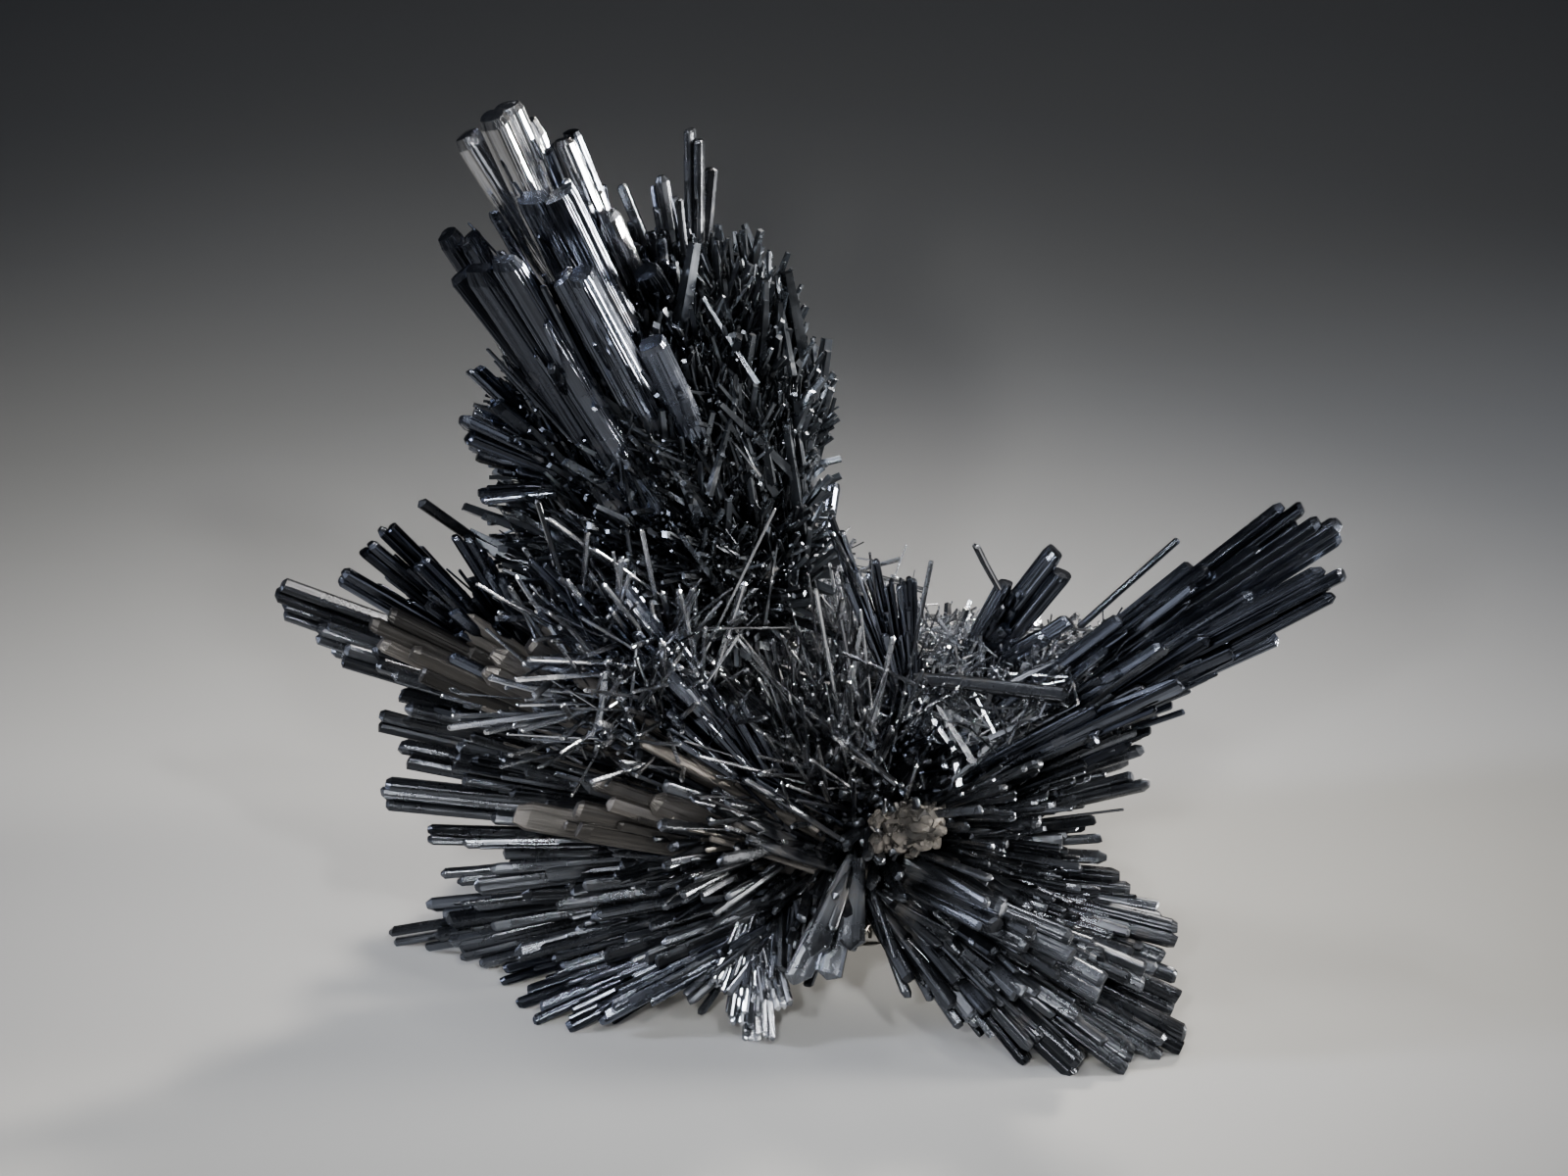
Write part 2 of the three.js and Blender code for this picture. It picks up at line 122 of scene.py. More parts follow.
def makeStudio():
    tilt = math.radians(studio["elevation"])
    lookAt = Vector(studio["lookAt"])
    camera = bpy.data.objects.new("camera", bpy.data.cameras.new("camera"))
    camera.data.lens = studio["lens"]
    camera.data.clip_start = 0.01
    camera.location = lookAt + studio["distance"] * Vector((0, -math.cos(tilt), math.sin(tilt)))
    aim(camera, lookAt)
    bpy.context.scene.collection.objects.link(camera)
    bpy.context.scene.camera = camera

    for name, place, size, watts, colour, target, spread in lamps:
        lamp = bpy.data.lights.new(name, "AREA")
        lamp.shape = "RECTANGLE"
        lamp.size = size[0] * mm
        lamp.size_y = size[1] * mm
        lamp.energy = watts
        lamp.spread = math.radians(spread)
        lamp.color = linear(colour)[:3]
        holder = bpy.data.objects.new(name, lamp)
        holder.location = Vector(place) * mm
        aim(holder, Vector(target) * mm)
        bpy.context.scene.collection.objects.link(holder)

    world = bpy.data.worlds.new("room")
    world.use_nodes = True
    background = world.node_tree.nodes["Background"]
    background.inputs["Color"].default_value = linear(studio["worldColour"])
    background.inputs["Strength"].default_value = studio["worldStrength"]
    bpy.context.scene.world = world

    material, tree = newMaterial("paleCard")
    grain = addNode(tree, "ShaderNodeTexNoise", {"Scale": 900.0})
    relief = addNode(tree, "ShaderNodeBump", {
        "Height": grain.outputs["Fac"], "Strength": 0.05, "Distance": 0.2 * mm})
    shader = addNode(tree, "ShaderNodeBsdfPrincipled", {
        "Base Color": linear(studio["floorColour"]), "Roughness": 0.9, "Normal": relief.outputs["Normal"]})
    addNode(tree, "ShaderNodeOutputMaterial", {"Surface": shader.outputs["BSDF"]})
    half = studio["floorSize"] / 2
    card = bpy.data.meshes.new("floor")
    corners = [(-half, -half, 0), (half, -half, 0), (half, half, 0), (-half, half, 0)]
    card.from_pydata(corners, [], [(0, 1, 2, 3)])
    card.materials.append(material)
    floor = bpy.data.objects.new("floor", card)
    bpy.context.scene.collection.objects.link(floor)


makeStudio()
print("studio: ", len(lamps), "lamps")

# materials

# Stibnite is a lead-grey sulphide with a metallic lustre. Fresh cleavage mirrors its surroundings, so it
# goes from near black to white; weathered faces turn bluish and duller, and clay dulls them to brown.
finishes = dict(
    stibniteCleavage=dict(slot="prism", dark="#4a4e56", light="#f2f4f8", dust="#6b645b", dustAmount=0.03,
                          metallic=1.0, rough=(0.10, 0.22), groove=0.26, depth=0.06),
    stibnitePrism=dict(slot="prism", dark="#292c33", light="#767c89", dust="#524e49", dustAmount=0.08,
                       metallic=1.0, rough=(0.16, 0.32), groove=0.26, depth=0.06),
    stibniteBlade=dict(slot="blade", dark="#292b2f", light="#767a81", dust="#504c47", dustAmount=0.16,
                       metallic=0.95, rough=(0.18, 0.38), groove=0.22, depth=0.05),
    clayCoatedBlade=dict(slot="coated", dark="#343332", light="#7d7974", dust="#53504b", dustAmount=0.17,
                         metallic=0.8, rough=(0.26, 0.5), groove=0.24, depth=0.08),
    stibniteNeedle=dict(slot="needles", dark="#5e6269", light="#eceff5", dust="#4e4a44", dustAmount=0.04,
                        metallic=1.0, rough=(0.16, 0.32), groove=0.2, depth=0.02),
    stibniteBristle=dict(slot="needles", dark="#24262a", light="#6c7178", dust="#4e4a44", dustAmount=0.06,
                         metallic=1.0, rough=(0.2, 0.4), groove=0.2, depth=0.03),
)


def crystalMaterial(name, look):
    material, tree = newMaterial(name)
    local = addNode(tree, "ShaderNodeAttribute", attribute_name="local")     # mm across, through and along
    tint = addNode(tree, "ShaderNodeAttribute", attribute_name="tint")
    reach = addNode(tree, "ShaderNodeAttribute", attribute_name="reach")     # 0 at the foot, 1 at the tip
    place = addNode(tree, "ShaderNodeTexCoord")
    # striations run along the crystal, so their noise is stretched lengthwise
    across = 1 / look["groove"]
    along = 0.12 / look["groove"] * 0.3
    stretched = addNode(tree, "ShaderNodeMapping", {
        "Vector": local.outputs["Vector"], "Scale": (across, across, along)})
    striae = addNode(tree, "ShaderNodeTexNoise", {
        "Vector": stretched.outputs["Vector"], "Scale": 1.0, "Detail": 3.0, "Roughness": 0.6})
    relief = addNode(tree, "ShaderNodeBump", {
        "Height": striae.outputs["Fac"], "Strength": 0.7, "Distance": look["depth"] * mm})
    # painted highlight and shade: the striae also lay light and dark streaks into the colour, standing in for
    # the glints and shade of the grooves, scaled by each crystal's own tint
    shade = addNode(tree, "ShaderNodeMapRange", {
        "Value": striae.outputs["Fac"], "From Min": 0.35, "From Max": 0.65, "To Min": 0.0, "To Max": 0.55})
    paintedStreaks = addNode(tree, "ShaderNodeMath", {
        0: shade.outputs["Result"], 1: tint.outputs["Fac"]}, operation="MULTIPLY")
    blend = addNode(tree, "ShaderNodeMath", {
        0: tint.outputs["Fac"], 1: paintedStreaks.outputs["Value"]}, operation="ADD")
    bounded = addNode(tree, "ShaderNodeMath", {
        0: blend.outputs["Value"], 1: 0.65}, operation="MULTIPLY", use_clamp=True)
    metal = addNode(tree, "ShaderNodeMix", {
        "Factor": bounded.outputs["Value"], "A": linear(look["dark"]), "B": linear(look["light"])},
        data_type="RGBA")
    # clay lies in patches a few millimetres wide, more of it near the foot
    patches = addNode(tree, "ShaderNodeTexNoise", {
        "Vector": place.outputs["Object"], "Scale": 1 / (4 * mm), "Detail": 5.0, "Roughness": 0.7})
    lower = addNode(tree, "ShaderNodeMapRange", {
        "Value": reach.outputs["Fac"], "From Min": 0.2, "From Max": 1.0, "To Min": 0.12, "To Max": 0.0})
    raised = addNode(tree, "ShaderNodeMath", {
        0: patches.outputs["Fac"], 1: lower.outputs["Result"]}, operation="ADD")
    edge = 0.74 - 0.34 * look["dustAmount"]
    film = addNode(tree, "ShaderNodeMapRange", {
        "Value": raised.outputs["Value"], "From Min": edge - 0.06, "From Max": edge + 0.10,
        "To Min": 0.0, "To Max": 0.75})
    colour = addNode(tree, "ShaderNodeMix", {
        "Factor": film.outputs["Result"], "A": metal.outputs["Result"], "B": linear(look["dust"])},
        data_type="RGBA")
    polish = addNode(tree, "ShaderNodeMapRange", {
        "Value": patches.outputs["Fac"], "From Min": 0.3, "From Max": 0.7,
        "To Min": look["rough"][0], "To Max": look["rough"][1]})
    gloss = addNode(tree, "ShaderNodeMix", {
        "Factor": film.outputs["Result"], "A": polish.outputs["Result"], "B": 0.8}, data_type="FLOAT")
    lustre = addNode(tree, "ShaderNodeMapRange", {
        "Value": film.outputs["Result"], "To Min": look["metallic"], "To Max": 0.1})
    shader = addNode(tree, "ShaderNodeBsdfPrincipled", {
        "Base Color": colour.outputs["Result"], "Metallic": lustre.outputs["Result"],
        "Roughness": gloss.outputs["Result"], "Normal": relief.outputs["Normal"]})
    addNode(tree, "ShaderNodeOutputMaterial", {"Surface": shader.outputs["BSDF"]})
    return material


def matrixMaterial(name):
    # limonite-stained clay and grit: brown, matt, uneven
    material, tree = newMaterial(name)
    place = addNode(tree, "ShaderNodeTexCoord")
    grit = addNode(tree, "ShaderNodeTexNoise", {
        "Vector": place.outputs["Object"], "Scale": 1 / (0.8 * mm), "Detail": 6.0, "Roughness": 0.7})
    stain = addNode(tree, "ShaderNodeTexNoise", {
        "Vector": place.outputs["Object"], "Scale": 1 / (2.5 * mm), "Detail": 3.0})
    ramp = addNode(tree, "ShaderNodeMapRange", {
        "Value": stain.outputs["Fac"], "From Min": 0.38, "From Max": 0.62})
    colour = addNode(tree, "ShaderNodeMix", {
        "Factor": ramp.outputs["Result"], "A": linear("#35322e"), "B": linear("#938c83")}, data_type="RGBA")
    relief = addNode(tree, "ShaderNodeBump", {
        "Height": grit.outputs["Fac"], "Strength": 0.8, "Distance": 0.15 * mm})
    polish = addNode(tree, "ShaderNodeMapRange", {
        "Value": grit.outputs["Fac"], "To Min": 0.55, "To Max": 0.9})
    shader = addNode(tree, "ShaderNodeBsdfPrincipled", {
        "Base Color": colour.outputs["Result"], "Roughness": polish.outputs["Result"],
        "Normal": relief.outputs["Normal"]})
    addNode(tree, "ShaderNodeOutputMaterial", {"Surface": shader.outputs["BSDF"]})
    return material


materials = {name: crystalMaterial(name, look) for name, look in finishes.items()}
materials["limoniteGrit"] = matrixMaterial("limoniteGrit")
slots = {name: look["slot"] for name, look in finishes.items()}
slots["limoniteGrit"] = "matrix"
print("materials: ", ", ".join(materials))

# the frame's crystals, read back from its solids

reading = dict(
    weld=0.002 * mm,                  # corners nearer than this are one
    sliver=0.0005 * mm * mm,          # a facet smaller than this has no reliable direction
    same=0.9994,                      # cosine under which two directions differ
    lopsided=0.05,                    # most that a shoulder may differ from the one opposite, as a share
)


def facetsAt(corner):
    # the distinct flat facets that meet in a corner, as unit normals
    facets = []
    for face in corner.link_faces:
        area = face.calc_area()
        if area < reading["sliver"]:
            continue
        for facet in facets:
            if facet.normalized().dot(face.normal) > reading["same"]:
                facet += face.normal * area
                break
        else:
            facets.append(face.normal * area)
    return [facet.normalized() for facet in facets]


def endAt(corner):
    # A crystal's end is a low pyramid whose opposite facets lean the same way. Returns its tip, its axis and
    # the half width and half thickness at its shoulders, or None.
    facets = facetsAt(corner)
    count = len(facets)
    if count not in (4, 6):
        return None
    axis = sum(facets, Vector()).normalized()
    if axis.length == 0:
        return None
    side = axis.orthogonal().normalized()
    other = axis.cross(side)
    facets.sort(key=lambda n: math.atan2(n.dot(other), n.dot(side)))
    for one, opposite in zip(facets[:count // 2], facets[count // 2:]):
        if (one + opposite).normalized().dot(axis) < reading["same"]:
            return None
    edges = []
    for one, following in zip(facets, facets[1:] + facets[:1]):
        edge = one.cross(following).normalized()
        edges.append(edge if edge.dot(axis) < 0 else -edge)
    height = 0
    for link in corner.link_edges:
        leg = link.other_vert(corner).co - corner.co
        if leg.dot(axis) > 0:
            return None
        if any(leg.normalized().dot(edge) > reading["same"] for edge in edges):
            height = max(height, -leg.dot(axis))
    if height == 0:
        return None
    ring = [edge * (height / -edge.dot(axis)) + axis * height for edge in edges]
    for one, opposite in zip(ring[:count // 2], ring[count // 2:]):
        if (one + opposite).length > reading["lopsided"] * one.length:
            return None
    flat = np.array([(p.dot(side), p.dot(other)) for p in ring])
    spread, turns = np.linalg.eigh(flat.T @ flat / count)
    wide = (side * turns[0, 1] + other * turns[1, 1]).normalized()
    return dict(tip=corner.co.copy(), axis=axis, wide=wide, halfWidth=math.sqrt(2 * spread[1]),
                halfThick=math.sqrt(2 * max(spread[0], 1e-12)))


def readCrystals(nodeName):
    # the crystals of one CAD node, and the point that they grow from
    shape = bmesh.new()
    shape.from_mesh(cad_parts[nodeName].data)
    bmesh.ops.remove_doubles(shape, verts=shape.verts, dist=reading["weld"])
    shape.normal_update()
    found = [end for end in map(endAt, shape.verts) if end]
    corners = [v.co.copy() for v in shape.verts]
    shape.free()
    if len(found) > 1:
        pull, goal = np.zeros((3, 3)), np.zeros(3)
        for end in found:
            across = np.eye(3) - np.outer(end["axis"], end["axis"])
            pull += across
            goal += across @ np.array(end["tip"])
        root = Vector(np.linalg.solve(pull, goal))
    elif found:
        end = found[0]
        root = end["tip"] - end["axis"] * max((end["tip"] - c).dot(end["axis"]) for c in corners)
    else:
        root = None
    for end in found:
        end["root"] = root
    return found


masses = ("root_mass", "tower_needles", "bowl_needles", "ridge_needles", "matrix_grains")
crystals = {name: readCrystals(name) for name in sorted(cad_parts) if name not in masses}
print("read: ", sum(len(found) for found in crystals.values()), "crystals of the frame")

# crystals

habit = dict(
    seed=8,
    facet=dict(fine=0.14 * mm, plain=0.24 * mm),       # width of one lengthwise facet
    sides=dict(fine=(12, 76), plain=(6, 26)),          # fewest and most facets round a crystal
    squareness=3.0,                   # 2 is an ellipse, 5 nearly a box
    groove=0.11,                      # deepest groove, as a share of the half width
    bend=0.008,                       # sideways drift at half length, as a share of the length
    lean=0.012,                       # most that a strand strays from its bundle, as a share of its length
    past=0.3 * mm,                    # how far past the frame's box an end may reach
    above=0.4 * mm,                   # how far above the floor it stays
    bevel=(0.3, 1.1),                 # height of the sloping end, as a share of the half width
    waist=(0.45, 0.6),                # where a crystal drifts most, as a share of its length
    widths=((0.16, 0.30, 0.30), (0.32, 0.60, 0.45), (0.60, 0.95, 0.25)),  # half widths in mm, their share
)

# what each spray is made of: `between` counts the crystals that stand between those of the frame, `depth` is
# how far in mm they stand off the fan, `strand` the width in mm of one crystal in a bundle, `step` how many
# mm the shortest strand falls short, and `blunt` the width left at the top. The foot of a single prism
# reaches `bed` mm further down and lies `sink` mm further back among the needles
usual = dict(finish="stibniteBlade", between=60, depth=1.3, strand=0.85, step=1.6, blunt=(0.4, 0.8), bed=0,
             sink=2.5, slant=0.35, shortest=0.3, size=0.85, taper=0.62, face=None, feet=(0.03, 0.3),
             flare=0.4, likely=0.72, twist=0.7, ribs="plain", across=False)
prism = dict(ribs="fine", finish="stibnitePrism", taper=0.9)
bright = dict(ribs="fine", finish="stibniteCleavage", taper=0.9, face=(0.75, -0.6, 0.36), blunt=(0.7, 0.95),
              shortest=0.7)
sprays = dict(
    tower_prism_tall=dict(bright, between=9, depth=1.0, strand=1.5, step=2.4, size=0.9),
    tower_prism_bright=dict(bright, between=6, depth=0.7, strand=1.1, step=2.0, size=0.8),
    tower_prism_front=dict(prism, strand=2.0, step=0.9, blunt=(0.8, 0.95), bed=2.5),
    tower_prism_stub=dict(prism, strand=1.2, step=1.2, blunt=(0.75, 0.95), bed=2.5),
    tower_blade_broad=dict(prism, taper=0.85, between=0, strand=2.6, step=1.6, blunt=(0.7, 0.9), bed=3),
    tower_prism_centre=dict(prism, strand=1.6, step=0.9, blunt=(0.7, 0.9), bed=1.5, sink=5),
    tower_prism_small=dict(prism, strand=1.6, step=0.8, blunt=(0.7, 0.9), bed=1.5, sink=7),
    tower_prism_inner=dict(prism, strand=1.8, step=0.8, blunt=(0.6, 0.9), bed=1.5, sink=7),
    tower_spikes_back=dict(taper=0.85, between=34, depth=1.0, strand=0.8, step=2.5, shortest=0.45, size=0.6),
    tower_stubs_left=dict(finish="stibnitePrism", between=26, depth=1.2, size=0.8),
    tower_prisms_back=dict(finish="stibnitePrism", between=80, depth=2.0),
    shoulder_prisms_left=dict(finish="stibnitePrism", taper=0.8, between=80, depth=1.8, size=0.7,
                              blunt=(0.5, 0.9)),
    lone_needle=dict(strand=1.2, blunt=(0.1, 0.15), bed=4),
    left_fan_coated=dict(ribs="fine", finish="clayCoatedBlade", between=75, depth=1.4, strand=1.3),
    left_fan_upper=dict(between=70, depth=1.8, blunt=(0.2, 0.6)),
    left_fan_middle=dict(between=110, depth=2.4, blunt=(0.2, 0.6)),
    left_fan_plates=dict(ribs="fine", finish="clayCoatedBlade", between=34, depth=1.0, strand=1.7),
    left_fan_lower=dict(between=70, depth=1.6, size=0.8, blunt=(0.2, 0.6)),
    left_foot_bundle=dict(finish="stibnitePrism", between=130, depth=1.5, size=0.75, blunt=(0.6, 0.95),
                          face=(-0.12, -0.76, 0.6), shortest=0.55, likely=0.9, flare=0.1, twist=0.25),
    bowl_rim_blades=dict(finish="stibnitePrism", between=70, depth=1.6, size=0.45, strand=0.5),
    right_wing=dict(ribs="fine", finish="stibnitePrism", between=100, depth=1.6, strand=1.2),
    right_wing_lower=dict(between=90, depth=2.2, size=0.75),
    right_stub_prisms=dict(ribs="fine", finish="stibnitePrism", taper=0.8, between=12, strand=1.4,
                           step=1.0, blunt=(0.75, 0.95)),
    right_shoulder_blades=dict(finish="stibnitePrism", between=60, depth=1.5, size=0.45, strand=0.5),
    right_cross_blade=dict(strand=1.4, blunt=(0.2, 0.3), bed=4),
    foot_fan_upper=dict(ribs="fine", between=90, depth=1.9, blunt=(0.6, 0.95), strand=1.1),
    foot_fan_front=dict(ribs="fine", between=90, depth=1.5, blunt=(0.6, 0.95), strand=1.1),
    foot_fan_lower=dict(ribs="fine", between=100, depth=1.6, blunt=(0.6, 0.95), strand=1.1),
    foot_fan_inner=dict(between=50, depth=1.3, size=0.8),
    hanging_blades=dict(between=22, depth=0.9, blunt=(0.08, 0.25), strand=2.0),
    tuft_needles=dict(finish="stibniteNeedle", between=130, depth=0.9, strand=0.5, size=0.32, step=2.5,
                      blunt=(0.1, 0.4), shortest=0.4),
    rear_fan_left=dict(between=110, depth=2.2),
    rear_fan_right=dict(between=100, depth=2.2),
    rear_blades_up=dict(finish="stibnitePrism", between=70, depth=2.0),
    rear_feet=dict(between=80, depth=1.6),
)


def newShape():
    return dict(points=[], faces=[], local=[], tint=[], reach=[])


def outlineOf(count, dice):
    # the section of a crystal with unit half width and half thickness, its edge cut by lengthwise grooves
    power = 2 / habit["squareness"]
    outline = []
    for i in range(count):
        angle = 2 * math.pi * (i + 0.5) / count
        cut = 1 - habit["groove"] * dice.random() * (1.0 if i % 2 else 0.35)
        rounded = [math.copysign(abs(part) ** power, part) for part in (math.cos(angle), math.sin(angle))]
        outline.append([part * cut for part in rounded])
    return outline


def addCrystal(shape, foot, tip, wide, halfWidth, halfThick, taper, blunt, slant, dice, ribs="plain"):
    length = (tip - foot).length
    axis = (tip - foot) / length
    across = (wide - axis * wide.dot(axis)).normalized()
    out = axis.cross(across)
    girth = 4 * (halfWidth + halfThick)
    fewest, most = habit["sides"][ribs]
    count = 2 * round(min(max(girth / habit["facet"][ribs], fewest), most) / 2)
    outline = outlineOf(count, dice)
    bevel = min(halfWidth * dice.uniform(*habit["bevel"]), 0.2 * length)
    lean = dice.uniform(-slant, slant) * halfWidth
    drift = [dice.uniform(-1, 1) * habit["bend"] * length for _ in range(2)]
    waist = dice.uniform(*habit["waist"])
    rings = [(0, taper, 0, 0), (waist * length, taper + (1 - taper) * 0.7, 1, 0),
             (length - bevel - abs(lean), 1, 0, 1), (length - abs(lean), blunt, 0, 1)]
    offset = [dice.uniform(0, 50) for _ in range(3)]
    tint = dice.random()
    start = len(shape["points"])
    for height, share, bent, leant in rings:
        for u, v in outline:
            x = u * halfWidth * share
            y = v * halfThick * share
            z = height + leant * lean * u * share
            point = foot + across * (x + bent * drift[0]) + out * (y + bent * drift[1]) + axis * z
            shape["points"].append((point.x, point.y, max(point.z, 0.0)))
            shape["local"].append((x / mm + offset[0], y / mm + offset[1], z / mm + offset[2]))
            shape["reach"].append(z / length)
    for ring in range(len(rings) - 1):
        low = start + ring * count
        for i in range(count):
            j = (i + 1) % count
            shape["faces"].append((low + i, low + j, low + count + j, low + count + i))
    shape["faces"].append(tuple(start + count - 1 - i for i in range(count)))
    top = start + (len(rings) - 1) * count
    centre = foot + axis * (length - abs(lean) + 0.08 * halfWidth)
    shape["points"].append((centre.x, centre.y, max(centre.z, 0.0)))
    shape["local"].append((offset[0], offset[1], length / mm + offset[2]))
    shape["reach"].append(1.0)
    peak = len(shape["points"]) - 1
    for i in range(count):
        shape["faces"].append((top + i, top + (i + 1) % count, peak))
    shape["tint"].extend([tint] * (len(shape["points"]) - start))


def addBundle(shape, foot, tip, wide, halfWidth, halfThick, look, dice):
    # parallel strands side by side, of which the middle one reaches the tip
    strand = look["strand"] * mm
    columns = max(1, round(2 * halfWidth / strand))
    layers = max(1, round(1.6 * halfThick / strand))
    axis = (tip - foot).normalized()
    across = (wide - axis * wide.dot(axis)).normalized()
    out = axis.cross(across)
    length = (tip - foot).length
    middle = (columns // 2, layers // 2)
    taper = look["taper"]
    if look["face"]:
        across = Vector(look["face"]).cross(axis).normalized()
        out = axis.cross(across)
    for column in range(columns):
        for layer in range(layers):
            u = ((column + 0.5) / columns * 2 - 1) * halfWidth
            v = ((layer + 0.5) / layers * 2 - 1) * halfThick
            short = 0 if (column, layer) == middle else look["step"] * mm * dice.random() ** 1.5
            stray = habit["lean"] * length
            end = tip + across * (u + dice.uniform(-stray, stray) * 0.3) + out * v * 0.9 - axis * short
            start = foot + (across * u + out * v) * taper + axis * dice.uniform(0, 0.06) * length
            addCrystal(shape, start, end, across + out * dice.uniform(-0.25, 0.25),
                       halfWidth / columns * dice.uniform(1.0, 1.25),
                       halfThick / layers * dice.uniform(0.95, 1.2),
                       taper, dice.uniform(*look["blunt"]), look["slant"], dice, look["ribs"])


def fits(point):
    # the crystals that are added stay inside the frame's box
    edge = habit["past"]
    inside = all(cadBox[0][k] - edge < point[k] < cadBox[1][k] + edge for k in range(3))
    return inside and point[2] > habit["above"]


def halfWidthFor(look, dice):
    pick = dice.random()
    for low, high, share in habit["widths"]:
        if pick < share:
            return dice.uniform(low, high) * mm * look["size"]
        pick -= share
    return habit["widths"][-1][1] * mm * look["size"]


def addBetween(shape, found, look, dice):
    # shorter crystals between the neighbouring ones of a fan, or of several
    for _ in range(look["between"]):
        one = dice.choice(found)
        others = [end for end in found
                  if end is not one and (not look["across"] or end["spray"] != one["spray"])]
        others.sort(key=lambda end: (end["tip"] - one["tip"]).length)
        other = dice.choice(others[:4]) if others else one
        share = dice.random()
        root = one["root"].lerp(other["root"], share)
        ray = one["tip"].lerp(other["tip"], share) - root
        if look["face"]:
            wide = Vector(look["face"]).cross(ray).normalized()
        else:
            wide = one["wide"]
        out = ray.cross(wide).normalized()
        reach = dice.triangular(look["shortest"], 0.985, look["likely"])
        depth = look["depth"] * mm + look["flare"] * (1 - reach) * ray.length
        away = out * dice.uniform(-depth, depth) + wide * dice.uniform(-0.6, 0.6) * depth
        end = root + (ray + away) * reach
        if not fits(end):
            continue
        foot = root + ray * dice.uniform(*look["feet"]) + away * dice.uniform(-0.3, 0.5)
        halfWidth = halfWidthFor(look, dice)
        halfThick = halfWidth * dice.uniform(0.4, 0.85)
        addCrystal(shape, foot, end, wide + out * dice.uniform(-1, 1) * look["twist"], halfWidth, halfThick,
                   dice.uniform(look["taper"], 0.95), dice.uniform(*look["blunt"]), look["slant"], dice)


def placePiece(name, shape, finish, *nodes):
    mesh = bpy.data.meshes.new(name)
    mesh.from_pydata(shape["points"], [], shape["faces"])
    for key, kind, field in (("local", "FLOAT_VECTOR", "vector"), ("tint", "FLOAT", "value"),
                             ("reach", "FLOAT", "value")):
        layer = mesh.attributes.new(key, kind, "POINT")
        layer.data.foreach_set(field, np.array(shape[key], np.float32).ravel())
    mesh.materials.append(materials[finish])
    mesh.update()
    piece = bpy.data.objects.new(name, mesh)
    bpy.context.scene.collection.objects.link(piece)
    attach(piece, "root")
    if nodes:
        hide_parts(*nodes)
    mesh.calc_loop_triangles()
    return len(mesh.loop_triangles)


bridges = dict(                       # crystals that fill the clefts between sprays
    left_bridge=dict(between=400, depth=2.2, blunt=(0.2, 0.6), sprays=(
        "left_fan_coated", "left_fan_upper", "left_fan_middle", "left_fan_plates", "left_fan_lower",
        "left_foot_bundle")),
    shoulder_bridge=dict(finish="stibnitePrism", between=240, depth=1.8, size=0.6, sprays=(
        "shoulder_prisms_left", "left_fan_coated", "left_fan_upper", "bowl_rim_blades")),
    right_bridge=dict(between=300, depth=2.0, size=0.8, sprays=(
        "right_wing", "right_wing_lower", "foot_fan_upper", "rear_fan_right")),
    foot_bridge=dict(between=320, depth=1.8, blunt=(0.6, 0.95), sprays=(
        "foot_fan_upper", "foot_fan_front", "foot_fan_lower", "foot_fan_inner")),
    under_bridge=dict(between=90, depth=1.2, size=0.6, shortest=0.4, sprays=(
        "hanging_blades", "tuft_needles", "left_foot_bundle", "foot_fan_inner")),
    rear_bridge=dict(between=280, depth=2.4, sprays=(
        "rear_fan_left", "rear_fan_right", "rear_blades_up", "rear_feet", "left_fan_middle",
        "right_wing_lower")),
    tower_bridge=dict(finish="stibnitePrism", between=300, depth=1.8, size=0.5, shortest=0.5, taper=0.85,
                      feet=(0.3, 0.55), blunt=(0.6, 0.95), sprays=(
        "tower_prism_tall", "tower_prism_bright", "tower_prism_front", "tower_prism_stub",
        "tower_blade_broad", "tower_prism_centre", "tower_prism_small", "tower_prism_inner",
        "tower_spikes_back", "tower_prisms_back", "tower_stubs_left")),
)

triangles = 0
for number, (name, found) in enumerate(crystals.items()):
    look = {**usual, **sprays[name]}
    dice = random.Random(habit["seed"] + number)
    shape = newShape()
    for end in found:
        end["spray"] = name
        if look["bed"]:
            end["root"] = end["root"] - end["axis"] * look["bed"] * mm + Vector((0, look["sink"] * mm, 0))
        near = end["root"].lerp(end["tip"], 0.05)
        addBundle(shape, near, end["tip"], end["wide"], end["halfWidth"], end["halfThick"], look, dice)
    if len(found) > 1:
        addBetween(shape, found, look, dice)
    triangles += placePiece(name + "_crystals", shape, look["finish"], name)
for number, (name, bridge) in enumerate(bridges.items()):
    look = {**usual, "across": True, **bridge}
    shape = newShape()
    addBetween(shape, [end for spray in bridge["sprays"] for end in crystals[spray]], look,
               random.Random(habit["seed"] + 100 + number))
    triangles += placePiece(name, shape, look["finish"])

